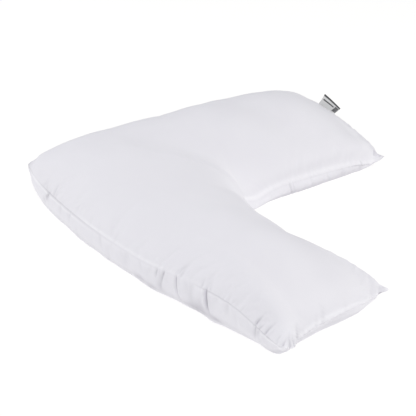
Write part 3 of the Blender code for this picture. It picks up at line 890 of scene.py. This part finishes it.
def add_panel(cage, arm, panel, layers):
    """One panel of one arm as a fine grid, with its place on the flat cut and the marks on its cloth."""
    columns, rows = GRID_LINES[arm], lines_across()
    along, across = np.meshgrid(columns, rows, indexing="ij")
    places = panel_places(arm, panel, along, across)
    marks = cloth_marks(arm, panel, along, across, places)
    cut = flat_place(along, across) * (CLOTH_ARC, CLOTH_ARC * MIRROR[arm])
    cut[..., 0] += BOTTOM_PANEL_SHIFT if panel == "bottom" else 0.0
    for vert, at in lay_grid(cage, pulled(places)):
        for name, values in marks.items():
            vert[layers[name]] = values[at]
        for loop in vert.link_loops:
            loop[layers["cut"]].uv = cut[at]


pillow_cage = bmesh.new()
# The cloth's marks: how far it is pressed in, and its painted shade and painted highlight.
pillow_layers = {
    name: pillow_cage.verts.layers.float.new(name) for name in ("pressed", "shade", "bright")
}
pillow_layers["cut"] = pillow_cage.loops.layers.uv.new("cut")
for arm_name in MIRROR:
    for panel_name in PANELS:
        add_panel(pillow_cage, arm_name, panel_name, pillow_layers)
sew(pillow_cage)
pressed_places = {
    vert: vert.co - vert.normal * vert[pillow_layers["pressed"]] for vert in pillow_cage.verts
}
for vert, place in pressed_places.items():
    vert.co = (place.x, place.y, max(place.z, 0.0))
pillow_mesh = bpy.data.meshes.new("filled_pillow")
pillow_cage.to_mesh(pillow_mesh)
pillow_cage.free()
pillow_mesh.shade_smooth()
pillow = bpy.data.objects.new("filled_pillow", pillow_mesh)
bpy.context.scene.collection.objects.link(pillow)


class Value:
    """A number, colour or vector that a material's nodes work out. Arithmetic on it adds Math nodes."""

    def __init__(self, tree, socket=None):
        self.tree = tree
        self.socket = socket

    def add(self, kind, settings=None, inputs=None, output=0):
        """Adds a node, its settings made first, and returns the value of one of its outputs."""
        node = self.tree.nodes.new(kind)
        for name, setting in (settings or {}).items():
            setattr(node, name, setting)
        for name, given in (inputs or {}).items():
            if isinstance(given, Value):
                self.tree.links.new(given.socket, node.inputs[name])
            else:
                node.inputs[name].default_value = given
        return Value(self.tree, node.outputs[output])

    def maths(self, operation, *given):
        return self.add("ShaderNodeMath", {"operation": operation}, dict(enumerate(given)))

    def __add__(self, other):
        return self.maths("ADD", self, other)

    def __mul__(self, other):
        return self.maths("MULTIPLY", self, other)

    __radd__ = __add__
    __rmul__ = __mul__

    def sine(self):
        return self.maths("SINE", self)

    def within(self, middle, reach):
        """1 where the value is no further from a middle than its reach, and 0 elsewhere."""
        return self.maths("COMPARE", self, middle, reach)

    def colours(self, first, second):
        """The first colour where the value is 0 and the second where it is 1."""
        given = {0: self, 6: (*first, 1.0), 7: (*second, 1.0)}
        return self.add("ShaderNodeMix", {"data_type": "RGBA"}, given, output=2)


def new_fabric(name, slot_colour, roughness):
    """A material with its shader's steady values set, and the value that its nodes are added to."""
    material = bpy.data.materials.new(name)
    material.use_nodes = True
    material.diffuse_color = (*slot_colour, 1.0)
    shader = material.node_tree.nodes["Principled BSDF"]
    shader.inputs["Base Color"].default_value = (*slot_colour, 1.0)
    shader.inputs["Roughness"].default_value = roughness
    return material, shader, Value(material.node_tree)


# The cotton: a fine plain weave that follows the grain of the flat cut, with soft crumples, and the
# marks' painted shade and painted highlight mixed into its colour.
COTTON = (0.870, 0.860, 0.905)
COTTON_SHADED = (0.845, 0.832, 0.880)
# Painted shade and painted highlight, which the marks mix into the cloth's colour.
COTTON_PAINTED_SHADE = (0.420, 0.405, 0.455)
COTTON_PAINTED_HIGHLIGHT = (0.955, 0.945, 0.985)
COTTON_ROUGHNESS = 0.88
COTTON_SHEEN = 0.12
COTTON_GLOSS = 0.25
YARN_PITCH = 0.0007
YARN_HEIGHT = 0.000020
CRUMPLE_SIZE = 0.022
CRUMPLE_HEIGHT = 0.00045
CRUMPLE_ROUGHNESS = 0.45
CRUMPLE_BEND = 0.6
BLOTCH_SCALE = 9.0


def cotton():
    material, shader, base = new_fabric("white_cotton", COTTON, COTTON_ROUGHNESS)
    shader.inputs["Sheen Weight"].default_value = COTTON_SHEEN
    shader.inputs["Specular IOR Level"].default_value = COTTON_GLOSS
    cut = base.add("ShaderNodeUVMap", {"uv_map": "cut"})
    warp = base.add("ShaderNodeSeparateXYZ", inputs={0: cut}, output=0)
    weft = Value(warp.tree, warp.socket.node.outputs[1])
    weave = (warp * (pi / YARN_PITCH)).sine() * (weft * (pi / YARN_PITCH)).sine()
    place = base.add("ShaderNodeTexCoord", output=3)
    crumple = base.add(
        "ShaderNodeTexNoise",
        {"noise_dimensions": "3D"},
        {
            "Vector": place,
            "Scale": 1 / CRUMPLE_SIZE,
            "Detail": 3.0,
            "Roughness": CRUMPLE_ROUGHNESS,
            "Distortion": CRUMPLE_BEND,
        },
    )
    blotch_inputs = {"Vector": place, "Scale": BLOTCH_SCALE, "Detail": 2.0}
    blotch = base.add("ShaderNodeTexNoise", inputs=blotch_inputs)
    height = weave * YARN_HEIGHT + crumple * CRUMPLE_HEIGHT
    bump = base.add("ShaderNodeBump", inputs={"Strength": 1.0, "Distance": 1.0, "Height": height})
    cloth = blotch.colours(COTTON_SHADED, COTTON)
    # Painted highlight, then painted shade, from the marks on the cloth.
    for name, tone in (("bright", COTTON_PAINTED_HIGHLIGHT), ("shade", COTTON_PAINTED_SHADE)):
        mark = base.add("ShaderNodeAttribute", {"attribute_name": name}, output=2)
        mark = mark.maths("MINIMUM", mark, 1.0)
        given = {0: mark, 6: cloth, 7: (*tone, 1.0)}
        cloth = base.add("ShaderNodeMix", {"data_type": "RGBA"}, given, output=2)
    material.node_tree.links.new(cloth.socket, shader.inputs["Base Color"])
    material.node_tree.links.new(bump.socket, shader.inputs["Normal"])
    return material


pillow_mesh.materials.append(cotton())
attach(pillow, "root")
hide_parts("pillow")

# The label: a short woven satin tape, folded over once with both cut ends caught in the seam across
# the far arm's end. A charcoal band is woven along its fold, with a plain stripe and bars below it.

LABEL_WIDTH = 0.069
LABEL_OUT = 0.0245
LABEL_SHARE = 0.305
LABEL_TILT = radians(36.0)
LABEL_CURL = radians(9.0)
LABEL_TWIST = radians(25.0)
LABEL_SLANT = radians(8.3)
LABEL_SHEET = 0.0006
LABEL_LAYER_GAP = 0.0010
LABEL_ROOT = -0.0015
LABEL_COLUMNS = 40
LABEL_ROWS = 20
LABEL_FOLD_ROWS = 7


def end_seam_point(share):
    """A point on the seam across the far arm's end."""
    share = np.asarray(share)
    plan = seam_plan("far", "end", share)
    height = read_rows(SEAMS["far", "end"], share, "height")
    return Vector((plan[0], -plan[1], height)) - Vector(CENTRE)


def label_path():
    """The folded tape from one cut end to the other: distance out, and height off its middle."""
    off_middle = (LABEL_SHEET + LABEL_LAYER_GAP) / 2
    out = [mix(LABEL_ROOT, LABEL_OUT, row / LABEL_ROWS) for row in range(LABEL_ROWS + 1)]
    turns = [pi * (row + 1) / (LABEL_FOLD_ROWS + 1) for row in range(LABEL_FOLD_ROWS)]
    lower = [(distance, -off_middle) for distance in out]
    fold = [(LABEL_OUT + off_middle * sin(turn), -off_middle * cos(turn)) for turn in turns]
    upper = [(distance, off_middle) for distance in reversed(out)]
    return lower + fold + upper


def label_point(across, distance, off_middle):
    """A point of the tape, which rises from the seam, curls up and twists a little."""
    half = LABEL_WIDTH / 2 / ARM_WIDTH
    first, last = end_seam_point(LABEL_SHARE - half), end_seam_point(LABEL_SHARE + half)
    chord = (last - first).normalized()
    on_seam = end_seam_point(LABEL_SHARE + 2 * half * across)
    on_chord = (first + last) / 2 + chord * LABEL_WIDTH * across
    outward = Vector((-chord.y, chord.x, 0.0)).normalized()
    up = outward.cross(chord) if outward.cross(chord).z > 0 else chord.cross(outward)
    freed = min(max(distance / LABEL_OUT, 0.0), 1.0)
    out = distance - freed * LABEL_WIDTH * across * tan(LABEL_SLANT)
    root = on_seam.lerp(on_chord, freed) + chord * out * tan(LABEL_SLANT)
    tilt = LABEL_TILT - LABEL_TWIST * across + LABEL_CURL * freed
    direction = outward * cos(tilt) + up * sin(tilt)
    normal = up * cos(tilt) - outward * sin(tilt)
    return root + direction * out + normal * off_middle


label_cage = bmesh.new()
tape = label_cage.loops.layers.uv.new("tape")
path = label_path()
run = [0.0]
for before, after in zip(path, path[1:]):
    run.append(run[-1] + (Vector(after) - Vector(before)).length)
label_grid = bmesh.ops.create_grid(
    label_cage, x_segments=LABEL_COLUMNS, y_segments=len(path) - 1, size=0.5
)
for vert in label_grid["verts"]:
    row = round((vert.co.y + 0.5) * (len(path) - 1))
    for loop in vert.link_loops:
        loop[tape].uv = (vert.co.x * LABEL_WIDTH, run[row] - run[-1] / 2)
    vert.co = label_point(vert.co.x, *path[row])
label_mesh = bpy.data.meshes.new("woven_label")
label_cage.to_mesh(label_mesh)
label_cage.free()
label_mesh.shade_smooth()
label = bpy.data.objects.new("woven_label", label_mesh)
bpy.context.scene.collection.objects.link(label)
thickness = label.modifiers.new("thickness", "SOLIDIFY")
thickness.thickness = LABEL_SHEET
thickness.offset = 0.0
thickness.use_even_offset = True

SATIN = (0.700, 0.700, 0.700)
CHARCOAL = (0.045, 0.045, 0.050)
SATIN_ROUGHNESS = 0.42
SATIN_GLOSS = 0.55
BAND_HALF_WIDTH = 0.0043
STRIPE_PLACE = 0.0112
STRIPE_HALF_WIDTH = 0.00150
STRIPE_MIDDLE = -0.0060
STRIPE_HALF_LENGTH = 0.0230
BARS_MIDDLE = 0.0275
BARS_HALF_LENGTH = 0.0068
BARS_PLACE = 0.0140
BARS_HALF_DEPTH = 0.0085
BAR_PITCH = 0.0034
BAR_SHARE = 0.85
SATIN_RIB = 0.0005
SATIN_RIB_HEIGHT = 0.00003


def satin():
    material, shader, base = new_fabric("grey_satin", SATIN, SATIN_ROUGHNESS)
    shader.inputs["Specular IOR Level"].default_value = SATIN_GLOSS
    tape_map = base.add("ShaderNodeUVMap", {"uv_map": "tape"})
    across = base.add("ShaderNodeSeparateXYZ", inputs={0: tape_map}, output=0)
    out = Value(across.tree, across.socket.node.outputs[1])
    from_fold = out.maths("ABSOLUTE", out)
    band = from_fold.within(0.0, BAND_HALF_WIDTH)
    stripe = from_fold.within(STRIPE_PLACE, STRIPE_HALF_WIDTH)
    stripe = stripe * across.within(STRIPE_MIDDLE, STRIPE_HALF_LENGTH)
    bars = from_fold.within(BARS_PLACE, BARS_HALF_DEPTH) * across.within(BARS_MIDDLE, BARS_HALF_LENGTH)
    bars = bars * ((from_fold * (tau / BAR_PITCH)).sine() + BAR_SHARE).within(1.0, 1.0)
    dark = band.maths("MAXIMUM", band, stripe.maths("MAXIMUM", stripe, bars))
    ribs = (across * (tau / SATIN_RIB)).sine() * SATIN_RIB_HEIGHT
    colour = dark.colours(SATIN, CHARCOAL)
    bump = base.add("ShaderNodeBump", inputs={"Strength": 1.0, "Distance": 1.0, "Height": ribs})
    material.node_tree.links.new(colour.socket, shader.inputs["Base Color"])
    material.node_tree.links.new(bump.socket, shader.inputs["Normal"])
    return material


label_mesh.materials.append(satin())
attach(label, "root")
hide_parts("label")

# The floor, the light and the camera: a plain pale floor that runs out of sight, soft boxes around
# the pillow, and a long lens that looks down on it from the front.

FLOOR_SIZE = 60.0
FLOOR_COLOUR = (0.30, 0.30, 0.30)
FLOOR_GLOW = (0.769, 0.763, 0.756)
FLOOR_ROUGHNESS = 0.9
floor_cage = bmesh.new()
bmesh.ops.create_grid(floor_cage, x_segments=1, y_segments=1, size=FLOOR_SIZE / 2)
floor_mesh = bpy.data.meshes.new("floor")
floor_cage.to_mesh(floor_mesh)
floor_cage.free()
floor = bpy.data.objects.new("floor", floor_mesh)
bpy.context.scene.collection.objects.link(floor)
floor_material, floor_shader, _ = new_fabric("pale_floor", FLOOR_COLOUR, FLOOR_ROUGHNESS)
floor_shader.inputs["Emission Color"].default_value = (*FLOOR_GLOW, 1.0)
floor_shader.inputs["Emission Strength"].default_value = 1.0
floor_mesh.materials.append(floor_material)

WORLD_COLOUR = (0.474, 0.486, 0.504)
world = bpy.data.worlds.new("soft_room")
world.use_nodes = True
world.node_tree.nodes["Background"].inputs["Color"].default_value = (*WORLD_COLOUR, 1.0)
world.node_tree.nodes["Background"].inputs["Strength"].default_value = 1.0
bpy.context.scene.world = world
bpy.context.scene.view_settings.view_transform = "Standard"

# Square soft boxes, turned to the pillow: their heading, turned from +X, and how high they stand.
LAMP_DISTANCE = 2.6
LAMP_SIZE = 1.8
Lamp = namedtuple("Lamp", "name heading elevation power colour")
LAMPS = (
    Lamp("right_box", radians(0), radians(25), 12.5, (1.000, 0.985, 0.900)),
    Lamp("left_box", radians(180), radians(30), 16.7, (1.000, 0.993, 0.960)),
    Lamp("front_box", radians(-60), radians(65), 19.7, (1.000, 0.973, 0.952)),
)
for lamp in LAMPS:
    light = bpy.data.lights.new(lamp.name, "AREA")
    light.shape = "SQUARE"
    light.size = LAMP_SIZE
    light.energy = lamp.power
    light.color = lamp.colour
    level = cos(lamp.elevation)
    away = Vector((level * cos(lamp.heading), level * sin(lamp.heading), sin(lamp.elevation)))
    stand = bpy.data.objects.new(lamp.name, light)
    stand.location = away * LAMP_DISTANCE
    stand.rotation_euler = (-away).to_track_quat("-Z", "Y").to_euler()
    bpy.context.scene.collection.objects.link(stand)

CAMERA_YAW = radians(6.32)
CAMERA_PITCH = radians(36.1)
CAMERA_ROLL = radians(1.39)
CAMERA_DISTANCE = 2.213
CAMERA_AIM = Vector((0.0146, -0.0773, 0.08))
FOCAL_SHARE = 1020.6 / 416.0
SENSOR = 36.0
back = Vector((
    sin(CAMERA_YAW) * cos(CAMERA_PITCH), -cos(CAMERA_YAW) * cos(CAMERA_PITCH), sin(CAMERA_PITCH)
))
level_right = (-back).cross(Vector((0.0, 0.0, 1.0))).normalized()
level_up = level_right.cross(-back)
right = level_right * cos(CAMERA_ROLL) + level_up * sin(CAMERA_ROLL)
up = level_up * cos(CAMERA_ROLL) - level_right * sin(CAMERA_ROLL)
lens = bpy.data.cameras.new("camera")
lens.sensor_width = SENSOR
lens.lens = SENSOR * FOCAL_SHARE
camera = bpy.data.objects.new("camera", lens)
camera.matrix_world = Matrix.Translation(CAMERA_AIM + back * CAMERA_DISTANCE) @ Matrix(
    (right, up, back)
).transposed().to_4x4()
bpy.context.scene.collection.objects.link(camera)
bpy.context.scene.camera = camera
